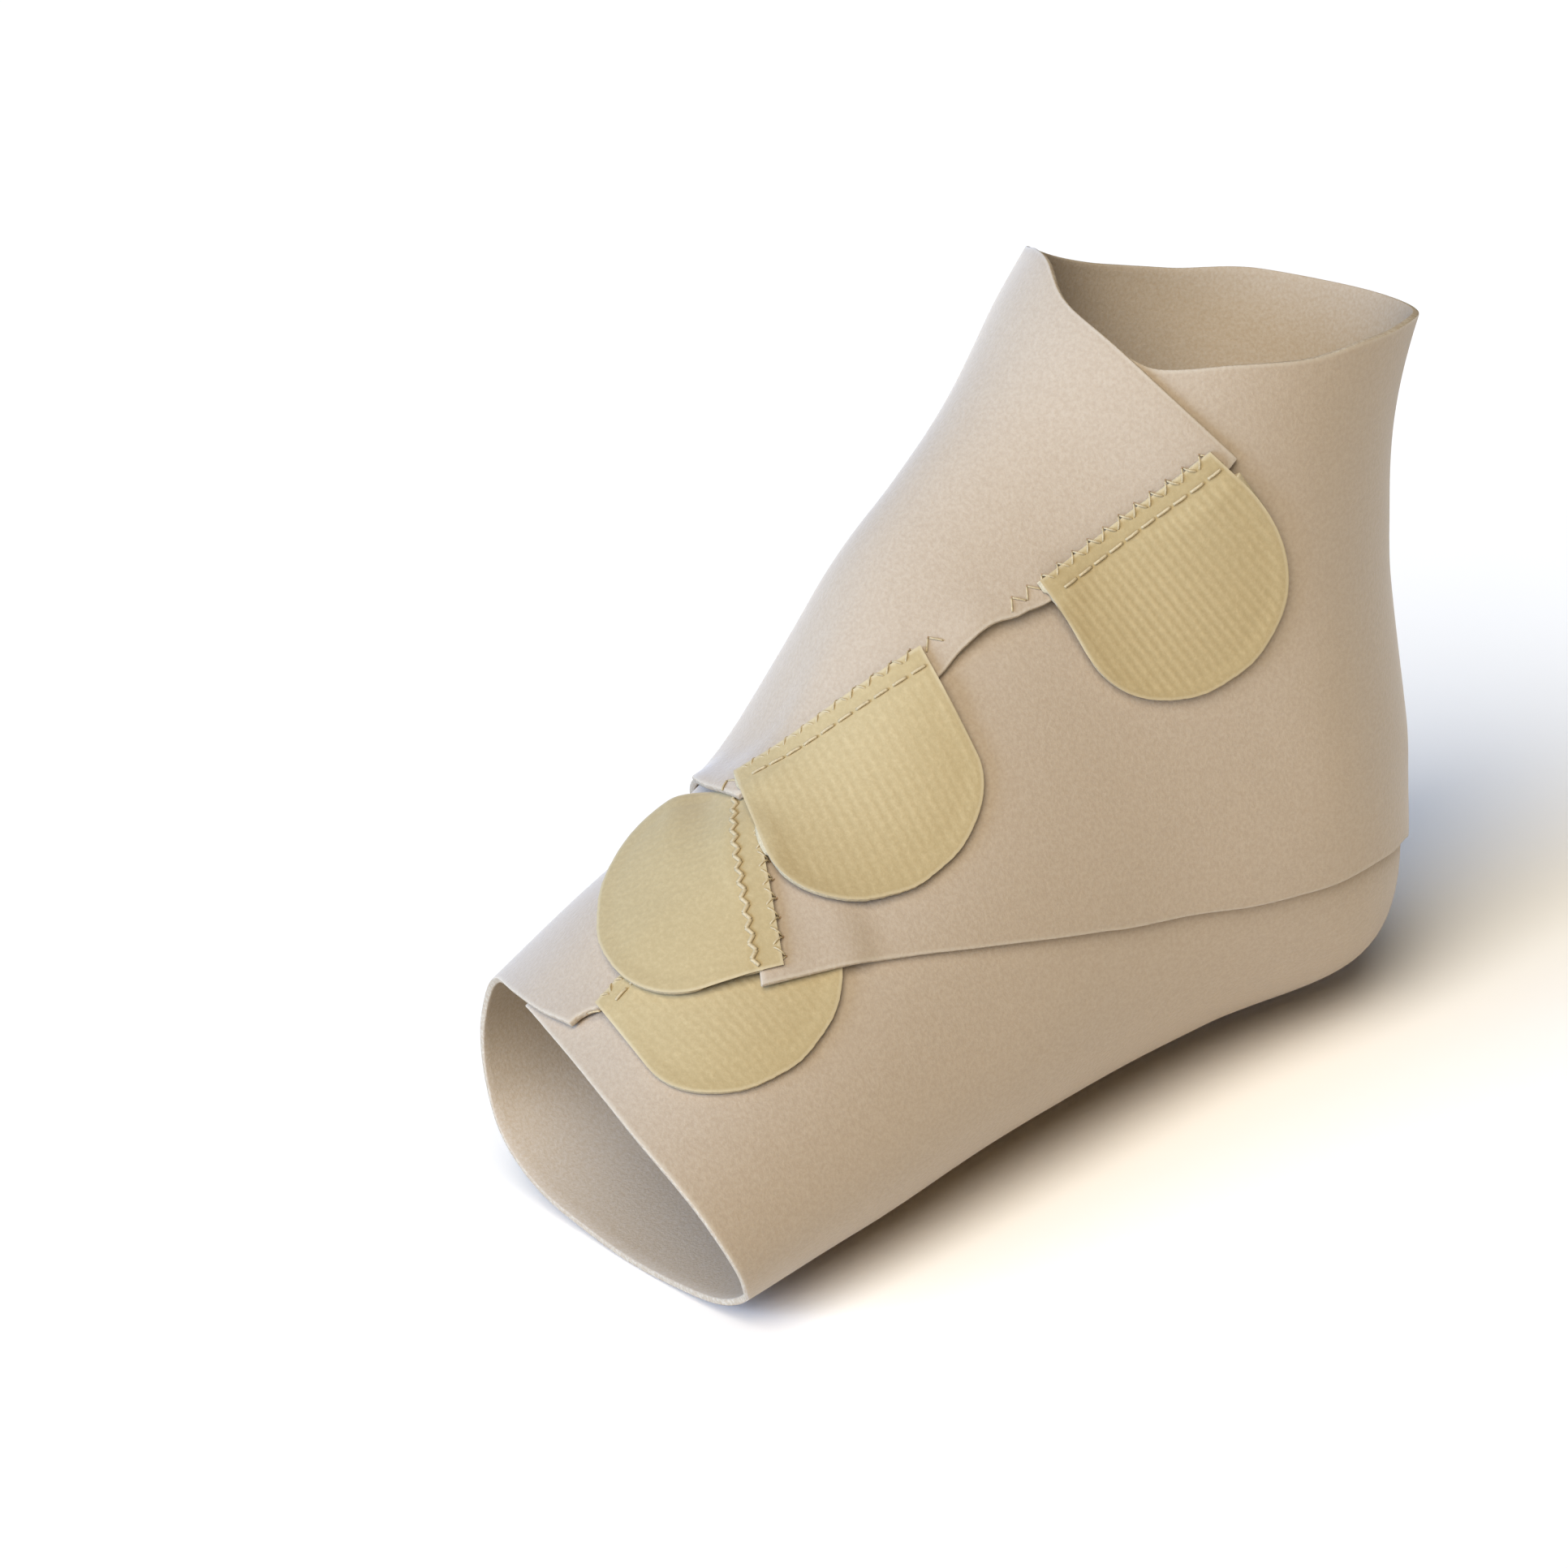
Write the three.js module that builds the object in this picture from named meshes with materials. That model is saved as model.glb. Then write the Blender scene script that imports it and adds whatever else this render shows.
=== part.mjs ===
// Foot compression wrap for a left foot: a foot panel and an ankle band of laminated loop fabric, each
// wound once round and closed on itself by sewn-on hook tabs. Millimetres, +Z up, front mouth towards -Y,
// heel towards +Y, lateral side towards +X. The origin is on the inside of the sole, under the ankle.
import * as THREE from "three";

// Driving sizes
const FABRIC = 1.3; // thickness of the laminated fabric
const HOOK_TAPE = 0.9; // thickness of the hook tabs
const TAB_WIDTH = 38; // length of a tab's sewn edge
const EASE = 1.2; // from the form to the inside of the first layer
const LAYER_GAP = 0.45; // clearance between one layer and the next
const RAMP = 0.4; // rise per millimetre where a layer climbs over the edge of one below it
const REACH = 5; // how far past such an edge the layer above stays at its full height
const TOP_FULLNESS = 2.0; // superellipse exponent above the widest level, where 2 is an ellipse

// Grid of each wall
const FOOT_CELLS = { around: 50, across: 18 };
const BAND_CELLS = { around: 64, across: 15 };
const TAB_CELLS = { across: 10, along: 8 };

// The hollow form that the wrap takes, one row for each section from ahead of the front mouth, back round
// the heel and up past the ankle mouth. A section is a closed superellipse between its top and sole points,
// and its fullness is the exponent below its widest level.
const FORM = [
  // topY, topZ, soleY, soleZ, lateral and medial half widths, share down to the widest level, fullness
  [-165, 26, -159, 0, 47, 49, 0.62, 2.3], // ahead of the front mouth
  [-125, 36, -120, -6, 47, 48, 0.62, 2.3], // just ahead of the front mouth
  [-94, 54.2, -80, -5, 43, 44, 0.62, 2.3], // forefoot
  [-63.5, 71.6, -37, -1, 38, 40, 0.6, 2.3], // midfoot
  [-39, 97, 5, 0, 33, 35, 0.6, 2.3], // instep
  [-24, 109, 42.2, 1, 33, 34, 0.62, 2.15], // under the heel
  [-11, 119, 55.4, 29, 33, 34, 0.55, 1.8], // back of the heel
  [2, 131, 60.2, 73, 34, 33, 0.47, 1.8], // above the heel
  [25, 155, 69, 109, 34, 33, 0.46, 1.95], // ankle mouth
  [45, 201, 103, 157, 39, 39, 0.46, 2], // above the ankle mouth
];

// Each rib is a line across a panel. A turn is in degrees round the form, from its top ridge towards the
// lateral side, and a station counts the rows of FORM.
const FOOT_RIBS = [
  // front turn, front station, back turn, back station
  [-8, 1.33, 22, 2.62], // free edge of the lateral flap
  [10, 1.25, 32, 2.68],
  [32, 1.18, 44, 2.78],
  [51, 1.16, 56, 3.05],
  [77, 1.2, 70, 3.55],
  [96, 1.25, 84, 4.1],
  [112, 1.29, 94, 4.75],
  [124, 1.33, 102, 5.35],
  [140, 1.33, 116, 5.75],
  [158, 1.33, 140, 6.05],
  [180, 1.33, 180, 6.2], // middle of the sole and of the heel cup
  [202, 1.33, 220, 6.05],
  [220, 1.33, 244, 5.75],
  [236, 1.34, 258, 5.35],
  [252, 1.36, 266, 4.75],
  [270, 1.4, 276, 4.1],
  [290, 1.45, 290, 3.6],
  [306, 1.48, 305, 3.35],
  [325, 1.46, 325, 3.25],
  [345, 1.37, 345, 3.2],
  [360, 1.33, 362, 3.1],
  [372, 1.35, 374, 2.75], // sewn end of the dorsal flap
];
const BAND_RIBS = [
  // lower turn, lower station, upper turn, upper station
  [44.2, 2.09, 7, 2.72], // sewn start on the lateral midfoot
  [54.7, 2.49, 8, 3.5],
  [62.6, 2.75, 13, 4.5],
  [72.3, 3.05, 18, 5.4],
  [85.6, 3.48, 23, 6.3],
  [95.3, 3.9, 30, 7.0],
  [101.3, 4.3, 46, 7.09],
  [105.4, 4.75, 66, 7.34],
  [113.6, 5.1, 88, 7.59],
  [125.7, 5.36, 110, 7.86],
  [143.1, 5.58, 138, 8.07],
  [180, 5.72, 180, 8.15], // back of the heel
  [220, 5.58, 222, 8.07],
  [238, 5.36, 250, 7.88],
  [250, 5.1, 272, 7.72],
  [258, 4.75, 290, 7.62],
  [263, 4.3, 306, 7.56],
  [268, 3.9, 320, 7.52],
  [276, 3.48, 334, 7.48],
  [289, 3.05, 346, 7.46],
  [305, 2.88, 358, 7.4],
  [330, 2.82, 374, 7.21],
  [350, 2.73, 396, 7.08],
  [368, 2.73, 431, 6.85], // end on the lateral side, before it is shaped
];

// Shape of the band's end: how many degrees it runs past the straight line between its two corners. The
// lower half carries one tab and the upper half another, with a shallow cut-out between them.
const BAND_END = [
  // share of the way up the end, degrees past the straight line
  [0, 0],
  [0.13, 5],
  [0.25, 10],
  [0.31, 8],
  [0.38, 5],
  [0.45, 3],
  [0.69, -6],
  [0.9, -2],
  [1, 0],
];
const BAND_END_RIBS = 3; // the end's shape fades out over this many ribs

// Where the sewn edge of each hook tab starts, and the spot that it runs towards. The tab lies to the left
// of that edge, seen from outside. Its two sides lean by some degrees from square to the edge, are straight
// for some length and then join in a round tip. The tabs are cut by hand, so no two are quite alike.
const TABS = {
  // start turn, start station, towards turn, towards station, leans, length, straight parts
  hook_tab_forefoot: [17, 2.58, 15.1, 1.52, -0.8, -15.3, 32.5, 10, 16],
  hook_tab_midfoot: [44.7, 2.23, 9.6, 2.79, 14.7, -15, 30.2, 12.3, 9.5],
  hook_tab_instep: [28.2, 3.88, 1.1, 2.83, -12.3, -10.9, 33, 19.8, 18.8],
  hook_tab_ankle: [63.7, 6.8, 38.2, 4.84, 6, -7, 34.4, 6, 14],
};

const FABRIC_LOOK = { color: 0xcdb898, roughness: 0.95, metalness: 0 };
const HOOK_LOOK = { color: 0xd3bf8b, roughness: 0.7, metalness: 0 };

const DEGREE = Math.PI / 180;
const STATION_STEP = 0.02;
const TURN_STEP = 1;
const WALK_STEP = 1.5;
const OWN_LAYER = 180; // a panel lies over itself only where it has gone this many degrees further round

// Catmull-Rom spline through the rows of a table, at a fractional row number
function spline(rows, at) {
  const last = rows.length - 1;
  const place = Math.min(Math.max(at, 0), last);
  const i = Math.min(Math.floor(place), last - 1);
  const f = place - i;
  return rows[i].map((b, column) => {
    const c = rows[i + 1][column];
    const a = i > 0 ? rows[i - 1][column] : 2 * b - c;
    const d = i + 2 <= last ? rows[i + 2][column] : 2 * c - b;
    return b + 0.5 * f * (c - a + f * (2 * a - 5 * b + 4 * c - d + f * (3 * (b - c) + d - a)));
  });
}

// Value of a two-column table between its rows
function between(rows, x) {
  const i = Math.max(1, rows.findIndex((row) => row[0] >= x));
  const [x0, y0] = rows[i - 1];
  const [x1, y1] = rows[i];
  return y0 + ((y1 - y0) * (x - x0)) / (x1 - x0);
}

function formPoint(station, turn) {
  const [topY, topZ, soleY, soleZ, lateral, medial, level, fullness] = spline(FORM, station);
  const c = Math.cos(turn * DEGREE);
  const s = Math.sin(turn * DEGREE);
  const power = 2 / (c >= 0 ? TOP_FULLNESS : fullness);
  const height = Math.abs(c) ** power;
  const down = c >= 0 ? level * (1 - height) : level + (1 - level) * height;
  const x = (s >= 0 ? lateral : -medial) * Math.abs(s) ** power;
  return new THREE.Vector3(x, topY + down * (soleY - topY), topZ + down * (soleZ - topZ));
}

// Tangents of the form along its stations and turns, and its outward normal
function formFrame(station, turn) {
  const onwards = formPoint(station + STATION_STEP, turn)
    .sub(formPoint(station - STATION_STEP, turn))
    .divideScalar(2 * STATION_STEP);
  const around = formPoint(station, turn + TURN_STEP)
    .sub(formPoint(station, turn - TURN_STEP))
    .divideScalar(2 * TURN_STEP);
  return { onwards, around, normal: around.clone().cross(onwards).normalize() };
}

function spot(station, turn) {
  return { turn, place: formPoint(station, turn), normal: formFrame(station, turn).normal, lift: EASE };
}

// Columns of spots of a panel between its ribs, with the last rib moved on by endShape
function panelColumns(ribs, cells, endShape = () => 0) {
  const last = ribs.length - 1;
  return Array.from({ length: cells.around + 1 }, (_, i) => {
    const at = (i / cells.around) * last;
    const [turnA, stationA, turnB, stationB] = spline(ribs, at);
    const shaped = Math.max(0, 1 - (last - at) / BAND_END_RIBS);
    return Array.from({ length: cells.across + 1 }, (_, j) => {
      const b = j / cells.across;
      const turn = turnA + b * (turnB - turnA) + shaped * endShape(b);
      return spot(stationA + b * (stationB - stationA), turn);
    });
  });
}

// Walks a straight line on the form: the heading is kept as nearly as the surface allows
function walk({ station, turn, heading }, length) {
  const steps = Math.max(1, Math.ceil(length / WALK_STEP));
  const stride = length / steps;
  const way = heading.clone();
  for (let k = 0; k < steps; k++) {
    const { onwards, around, normal } = formFrame(station, turn);
    way.addScaledVector(normal, -way.dot(normal)).normalize();
    const oo = onwards.dot(onwards);
    const aa = around.dot(around);
    const oa = onwards.dot(around);
    const wo = way.dot(onwards) * stride;
    const wa = way.dot(around) * stride;
    const area = oo * aa - oa * oa;
    station += (wo * aa - wa * oa) / area;
    turn += (wa * oo - wo * oa) / area;
  }
  return { station, turn, heading: way };
}

// Columns of spots of a D-shaped tab: straight lines across the form from its straight sewn edge
function tabColumns([turn, station, toTurn, toStation, firstLean, lastLean, tip, firstSide, lastSide]) {
  const edge = formPoint(toStation, toTurn).sub(formPoint(station, turn));
  return Array.from({ length: TAB_CELLS.across + 1 }, (_, i) => {
    const side = Math.sin((Math.PI / 2) * ((2 * i) / TAB_CELLS.across - 1));
    const share = (1 + side) / 2;
    const straight = firstSide + share * (lastSide - firstSide);
    const length = straight + (tip - straight) * Math.sqrt(1 - side * side);
    const lean = (firstLean + share * (lastLean - firstLean)) * DEGREE;
    const sewn = walk({ station, turn, heading: edge }, TAB_WIDTH * share);
    const { normal } = formFrame(sewn.station, sewn.turn);
    const heading = normal.clone().cross(sewn.heading).applyAxisAngle(normal, lean);
    let at = { ...sewn, heading };
    return Array.from({ length: TAB_CELLS.along + 1 }, (_, j) => {
      if (j > 0) at = walk(at, length / TAB_CELLS.along);
      return spot(at.station, at.turn);
    });
  });
}

// Lays columns of spots on all that was laid before them: each spot is lifted clear of what lies under it,
// and then kept for the layers above, with the middle of each cell
const laid = [];
function lay(columns, thickness, panel) {
  const spots = columns.flat();
  for (const s of spots) {
    for (const under of laid) {
      if (under.panel === panel && s.turn - under.turn < OWN_LAYER) continue;
      const past = Math.max(0, s.place.distanceTo(under.place) - REACH);
      s.lift = Math.max(s.lift, under.top + LAYER_GAP - RAMP * past);
    }
  }
  const keep = (place, turn, lift) => laid.push({ place, turn, top: lift + thickness, panel });
  columns.forEach((column, i) => {
    column.forEach((s, j) => {
      keep(s.place, s.turn, s.lift);
      const next = columns[i + 1]?.[j + 1];
      if (next) keep(s.place.clone().lerp(next.place, 0.5), s.turn, (s.lift + next.lift) / 2);
    });
  });
}

// Closed wall of a given thickness over columns of spots that have been laid, each cell cut along its
// shorter diagonal so that it keeps to the form
function wall(columns, thickness) {
  const rows = columns[0].length;
  const points = [0, thickness].flatMap((rise) =>
    columns.flat().map((s) => s.place.clone().addScaledVector(s.normal, s.lift + rise)),
  );
  const outside = columns.length * rows;
  const index = [];
  const quad = (a, b, c, d) => {
    const cutThroughA = points[a].distanceTo(points[c]) < points[b].distanceTo(points[d]);
    index.push(...(cutThroughA ? [a, b, c, a, c, d] : [b, c, d, b, d, a]));
  };
  const inner = (i, j) => i * rows + j;
  const outer = (i, j) => outside + i * rows + j;
  const lastColumn = columns.length - 1;
  const lastRow = rows - 1;
  for (let i = 0; i < lastColumn; i++) {
    for (let j = 0; j < lastRow; j++) {
      quad(outer(i, j), outer(i + 1, j), outer(i + 1, j + 1), outer(i, j + 1));
      quad(inner(i, j), inner(i, j + 1), inner(i + 1, j + 1), inner(i + 1, j));
    }
    quad(inner(i, 0), inner(i + 1, 0), outer(i + 1, 0), outer(i, 0));
    quad(outer(i, lastRow), outer(i + 1, lastRow), inner(i + 1, lastRow), inner(i, lastRow));
  }
  for (let j = 0; j < lastRow; j++) {
    quad(outer(0, j), outer(0, j + 1), inner(0, j + 1), inner(0, j));
    quad(inner(lastColumn, j), inner(lastColumn, j + 1), outer(lastColumn, j + 1), outer(lastColumn, j));
  }
  const geometry = new THREE.BufferGeometry();
  geometry.setFromPoints(points);
  geometry.setIndex(index);
  geometry.computeVertexNormals();
  return geometry;
}

const wrap = new THREE.Group();
wrap.name = "foot_compression_wrap";

function addPiece(name, columns, thickness, look) {
  const piece = new THREE.Mesh(wall(columns, thickness), new THREE.MeshStandardMaterial(look));
  piece.name = name;
  wrap.add(piece);
}

const footPanel = panelColumns(FOOT_RIBS, FOOT_CELLS);
const ankleBand = panelColumns(BAND_RIBS, BAND_CELLS, (b) => between(BAND_END, b));
const tabs = Object.fromEntries(Object.entries(TABS).map(([name, edge]) => [name, tabColumns(edge)]));

// Order of closing: each panel's inner half, then its outer half over that, with the tabs where they lie
const footHalf = FOOT_CELLS.around / 2;
const bandHalf = BAND_CELLS.around / 2;
lay(footPanel.slice(0, footHalf), FABRIC, "foot_panel");
lay(footPanel.slice(footHalf), FABRIC, "foot_panel");
lay(tabs.hook_tab_forefoot, HOOK_TAPE, "hook_tab_forefoot");
lay(ankleBand.slice(0, bandHalf), FABRIC, "ankle_band");
lay(tabs.hook_tab_midfoot, HOOK_TAPE, "hook_tab_midfoot");
lay(ankleBand.slice(bandHalf), FABRIC, "ankle_band");
lay(tabs.hook_tab_instep, HOOK_TAPE, "hook_tab_instep");
lay(tabs.hook_tab_ankle, HOOK_TAPE, "hook_tab_ankle");

addPiece("foot_panel", footPanel, FABRIC, FABRIC_LOOK);
addPiece("ankle_band", ankleBand, FABRIC, FABRIC_LOOK);
for (const [name, columns] of Object.entries(tabs)) addPiece(name, columns, HOOK_TAPE, HOOK_LOOK);

export default wrap;
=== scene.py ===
"""Foot compression wrap for a left foot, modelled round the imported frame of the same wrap."""

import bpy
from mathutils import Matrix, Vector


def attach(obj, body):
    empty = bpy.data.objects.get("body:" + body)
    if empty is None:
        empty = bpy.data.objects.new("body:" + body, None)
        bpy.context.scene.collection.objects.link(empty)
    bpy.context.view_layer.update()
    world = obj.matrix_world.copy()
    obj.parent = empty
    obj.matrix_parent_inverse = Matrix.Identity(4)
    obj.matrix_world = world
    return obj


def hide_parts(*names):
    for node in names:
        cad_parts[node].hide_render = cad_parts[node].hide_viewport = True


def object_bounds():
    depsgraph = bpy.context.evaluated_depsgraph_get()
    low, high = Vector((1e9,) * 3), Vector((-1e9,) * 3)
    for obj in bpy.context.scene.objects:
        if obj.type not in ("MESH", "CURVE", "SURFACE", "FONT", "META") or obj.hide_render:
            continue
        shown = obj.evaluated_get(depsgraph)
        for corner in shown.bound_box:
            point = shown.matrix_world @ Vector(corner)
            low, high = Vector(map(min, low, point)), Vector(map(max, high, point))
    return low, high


bl_info = {
    "name": "Foot Compression Wrap",
    "version": (1, 0, 0),
    "blender": (4, 5, 0),
    "location": "3D View > Sidebar > Wrap",
    "description": "Models a closed fabric foot and ankle wrap with sewn hook tabs, on a plain stage",
    "category": "Add Mesh",
}

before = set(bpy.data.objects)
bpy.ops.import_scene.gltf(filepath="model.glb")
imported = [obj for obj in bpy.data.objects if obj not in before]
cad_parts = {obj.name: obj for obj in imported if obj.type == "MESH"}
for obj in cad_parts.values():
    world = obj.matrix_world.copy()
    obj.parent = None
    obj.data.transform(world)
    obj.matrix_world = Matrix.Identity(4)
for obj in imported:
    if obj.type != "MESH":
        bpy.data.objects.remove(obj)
CAD_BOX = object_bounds()

import math

import bpy
import numpy as np
from mathutils import Matrix, Vector

MM = 0.001  # the shapes are worked out in millimetres and become meshes in metres

# The hollow form that the wrap takes, one row for each section from ahead of the front mouth, back round
# the heel and up past the ankle mouth. A section is a closed superellipse between its top and sole points.
FORM = (
    # topY, topZ, soleY, soleZ, lateral and medial half widths, share down to the widest level, fullness
    (-165, 26, -159, 0, 47, 49, 0.62, 2.3),  # ahead of the front mouth
    (-125, 36, -120, -6, 47, 48, 0.62, 2.3),  # just ahead of the front mouth
    (-94, 54.2, -80, -5, 43, 44, 0.62, 2.3),  # forefoot
    (-63.5, 71.6, -37, -1, 38, 40, 0.6, 2.3),  # midfoot
    (-39, 97, 5, 0, 33, 35, 0.6, 2.3),  # instep
    (-24, 109, 42.2, 1, 33, 34, 0.62, 2.15),  # under the heel
    (-11, 119, 55.4, 29, 33, 34, 0.55, 1.8),  # back of the heel
    (2, 131, 60.2, 73, 34, 33, 0.47, 1.8),  # above the heel
    (25, 155, 69, 109, 34, 33, 0.46, 1.95),  # ankle mouth
    (45, 201, 103, 157, 39, 39, 0.46, 2),  # above the ankle mouth
)
TOP_FULLNESS = 2.0  # superellipse exponent above the widest level, where 2 is an ellipse; FORM has it below

# Each rib is a line across a panel. A turn is in degrees round the form, from its top ridge towards the
# lateral side, and a station counts the rows of FORM.
FOOT_RIBS = (
    # front turn, front station, back turn, back station
    (-8, 1.33, 22, 2.62),  # free edge of the lateral flap
    (10, 1.25, 32, 2.68),
    (32, 1.18, 44, 2.78),
    (51, 1.16, 56, 3.05),
    (77, 1.2, 70, 3.55),
    (96, 1.25, 84, 4.1),
    (112, 1.29, 94, 4.75),
    (124, 1.33, 102, 5.35),
    (140, 1.33, 116, 5.75),
    (158, 1.33, 140, 6.05),
    (180, 1.33, 180, 6.2),  # middle of the sole and of the heel cup
    (202, 1.33, 220, 6.05),
    (220, 1.33, 244, 5.75),
    (236, 1.34, 258, 5.35),
    (252, 1.36, 266, 4.75),
    (270, 1.4, 276, 4.1),
    (290, 1.45, 290, 3.6),
    (306, 1.48, 305, 3.35),
    (325, 1.46, 325, 3.25),
    (345, 1.37, 345, 3.2),
    (360, 1.33, 362, 3.1),
    (372, 1.35, 374, 2.75),  # sewn end of the dorsal flap
)
BAND_RIBS = (
    # lower turn, lower station, upper turn, upper station
    (44.2, 2.09, 7, 2.72),  # sewn start on the lateral midfoot
    (54.7, 2.49, 8, 3.5),
    (62.6, 2.75, 13, 4.5),
    (72.3, 3.05, 18, 5.4),
    (85.6, 3.48, 23, 6.3),
    (95.3, 3.9, 30, 7.0),
    (101.3, 4.3, 46, 7.09),
    (105.4, 4.75, 66, 7.34),
    (113.6, 5.1, 88, 7.59),
    (125.7, 5.36, 110, 7.86),
    (143.1, 5.58, 138, 8.07),
    (180, 5.72, 180, 8.15),  # back of the heel
    (220, 5.58, 222, 8.07),
    (238, 5.36, 250, 7.88),
    (250, 5.1, 272, 7.72),
    (258, 4.75, 290, 7.62),
    (263, 4.3, 306, 7.56),
    (268, 3.9, 320, 7.52),
    (276, 3.48, 334, 7.48),
    (289, 3.05, 346, 7.46),
    (305, 2.88, 358, 7.4),
    (330, 2.82, 374, 7.21),
    (350, 2.73, 396, 7.08),
    (368, 2.73, 431, 6.85),  # end on the lateral side, before it is shaped
)

# Shape of the band's end, from its lower to its upper corner: share of the way up, and degrees that it runs
# past the straight line between the two; and the same for the dorsal flap, whose end runs on under its tab
BAND_END = ((0, 0), (0.13, 5), (0.25, 10), (0.31, 8), (0.38, 5), (0.45, 3), (0.69, -6), (0.9, -2), (1, 0))
FOOT_END = ((0, 0), (0.06, 1), (0.16, 5.5), (0.3, 6), (1, 6))
END_RIBS = 3  # the shape of an end fades out over this many ribs

# Where the sewn edge of each hook tab starts and the spot that it runs towards, the lean of its sides in
# degrees from square to it, its length and the straight part of its sides in millimetres, how clearly its
# ribs show, in relief and in the painted shade of their grooves, and how many millimetres its edge seam
# overruns its start and end. No two are quite alike, because they are cut by hand.
TABS = {
    # start turn and station, towards turn and station, leans, length, straight parts, ribs, overruns
    "hook_tab_forefoot": (17, 2.58, 15.1, 1.52, -0.8, -15.3, 32.5, 10, 16, 0.4, 0, 5.5),
    "hook_tab_midfoot": (44.7, 2.23, 9.6, 2.79, 14.7, -15, 30.2, 12.3, 9.5, 0.25, 2.5, 0),
    "hook_tab_instep": (28.2, 3.88, 1.1, 2.83, -12.3, -10.9, 33, 19.8, 18.8, 0.5, 3.6, 2),
    "hook_tab_ankle": (63.7, 6.8, 38.2, 4.84, 6, -7, 34.4, 6, 14, 1, 2, 4.4),
}

# Cells of each sheet's grid: round the form or across the tab, and across the panel or along the tab
FOOT_GRID = (240, 72)
BAND_GRID = (280, 72)
TAB_GRID = (228, 56)
FIRST_FOOT = slice(0, FOOT_GRID[0] // 2)
LAST_FOOT = slice(FIRST_FOOT.stop, None)
FIRST_BAND = slice(0, BAND_GRID[0] // 2)
LAST_BAND = slice(FIRST_BAND.stop, None)
SEWN_ON = {
    "hook_tab_forefoot": ("foot_panel", LAST_FOOT),
    "hook_tab_midfoot": ("ankle_band", FIRST_BAND),
    "hook_tab_instep": ("ankle_band", LAST_BAND),
    "hook_tab_ankle": ("ankle_band", LAST_BAND),
}

STATION_STEP = 0.02
TURN_STEP = 1.0
WALK_STEP = 1.0  # millimetres
OWN_LAYER = 180  # degrees further round where a panel lies over itself
PANEL_RAMP = 0.4  # rise per millimetre where a stretched panel climbs onto a stack of layers
EASY_RAMP = 0.05  # and where it climbs over the edge of the first layer, too gently to show
TAB_RAMP = 0.3  # and for a tab, which then evens it out by its stiffness
REACH = 2.2  # millimetres past such an edge where the layer above keeps its full height
PANEL_NEAR = 30  # millimetres past which no layer is felt
TAB_NEAR = 10
CHUNK = 6  # columns looked at together
TAB_KEPT = 4  # the layers over a tab feel every so many of its columns
PANEL_SPREAD = (1.4, 1.4)  # columns and rows over which a panel rounds off the steps under it
TAB_SPREAD = (14, 6)  # and over which a tab bridges them
TAB_FINISH = (4, 1.6)
STIFF_PASSES = 8

NEAREST = 4  # spots of a sheet that share in the height over a place
NEAR_SOFT = 0.05  # millimetres added to their distances
KERNEL_REACH = 3  # a grid is averaged out to this many times its spread

# Slow waves in the stretched cloth: millimetres per radian along x, y and z, the start in radians, and
# whether the wave follows a bend that sways to and fro up the wrap
LEVEL = math.inf
WAVES = (
    ((LEVEL, 6.7, LEVEL), 0, 1),
    ((-6.1, LEVEL, 7.9), 1.7, 0),
    ((4.9, 10.3, LEVEL), 0, 0),
)
WAVE_HEIGHT = 0.08  # millimetres of one wave
WAVE_BEND = 1.4  # radians
BEND_RUN = 11  # millimetres per radian up the wrap
PRESS = 1.8  # millimetres that the stacked layers press in the ridge of the instep
PRESS_TURNS = 42  # degrees to each side over which that fades
PRESS_STATION = 2.85
PRESS_STATIONS = 0.5

CUT_WAVE = 0.1  # millimetres of the waves in a tab's hand-cut outline
CUT_WAVES = 13  # radians of them in half a tab's width
CUT_BURR = 0.05  # millimetres of its small burrs
CUT_BURRS = (71, 23)
RIM_LIFT = 0.3  # millimetres that a tab's outline stands off what it is pressed on
RIM_WIDTH = 3.5
RIM_RUN = 7  # millimetres from the seams over which it starts
RIM_BARE = 0.6  # millimetres of a tab's rim without ribs
RIB_FADE = 1.2  # and over which the ribs then come in
RIB_WORN = 0.28  # share of the ribs' height that comes and goes
WORN_RUNS = (5.3, 6.1)  # millimetres per radian
WORN_START = 2
SEAM_GROOVE = 0.08  # millimetres that the second seam draws the tape in
GROOVE_WIDTH = 0.8
WIDE_INSET = 4.3  # millimetres from the midfoot tab's sewn edge to its second seam, which is a zigzag
SEAM_FLAT = 4.5  # millimetres of the tab that its two seams press flat
SEAM_FADE = 1  # millimetres to each side of there over which the ribs come in
NOTCH_LIFT = 1.2  # millimetres that the cut-out between the two tabs of the band's end stands off
NOTCH_REACH = 6
NOTCH_FROM = (0.27, 0.1)  # share of the way up the end where that starts, and over which it rises
NOTCH_TO = (0.62, 0.12)  # where it is over, and over which it falls
CORNER_LIFT = 0.6  # millimetres that a loose corner of a panel stands off
CORNER_REACH = 8
SPRING = 2.4  # millimetres that the stiff midfoot tab stands off past the ridge of the instep
SPRING_START = 9  # millimetres from its sewn edge
SPRING_RUN = 9
SPRING_SIDE = -0.15  # where that starts across the tab, from -1 to 1
SPRING_SIDES = 1.1  # and over how much it grows


def linear(colour):
    """Linear RGB of an sRGB hex colour."""
    channels = [int(colour[i : i + 2], 16) / 255 for i in (1, 3, 5)]
    return tuple(c / 12.92 if c <= 0.04045 else ((c + 0.055) / 1.055) ** 2.4 for c in channels)


def number_prop(name, description, default, **more):
    """A number with its limits or its kind."""
    return bpy.props.FloatProperty(name=name, description=description, default=default, **more)


def length_prop(name, description, default):
    """A length in metres, shown in the scene's units."""
    return number_prop(name, description, default, min=0, unit="LENGTH", precision=5)


def angle_prop(name, description, degrees):
    """An angle given in degrees."""
    return number_prop(name, description, math.radians(degrees), subtype="ANGLE")


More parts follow.
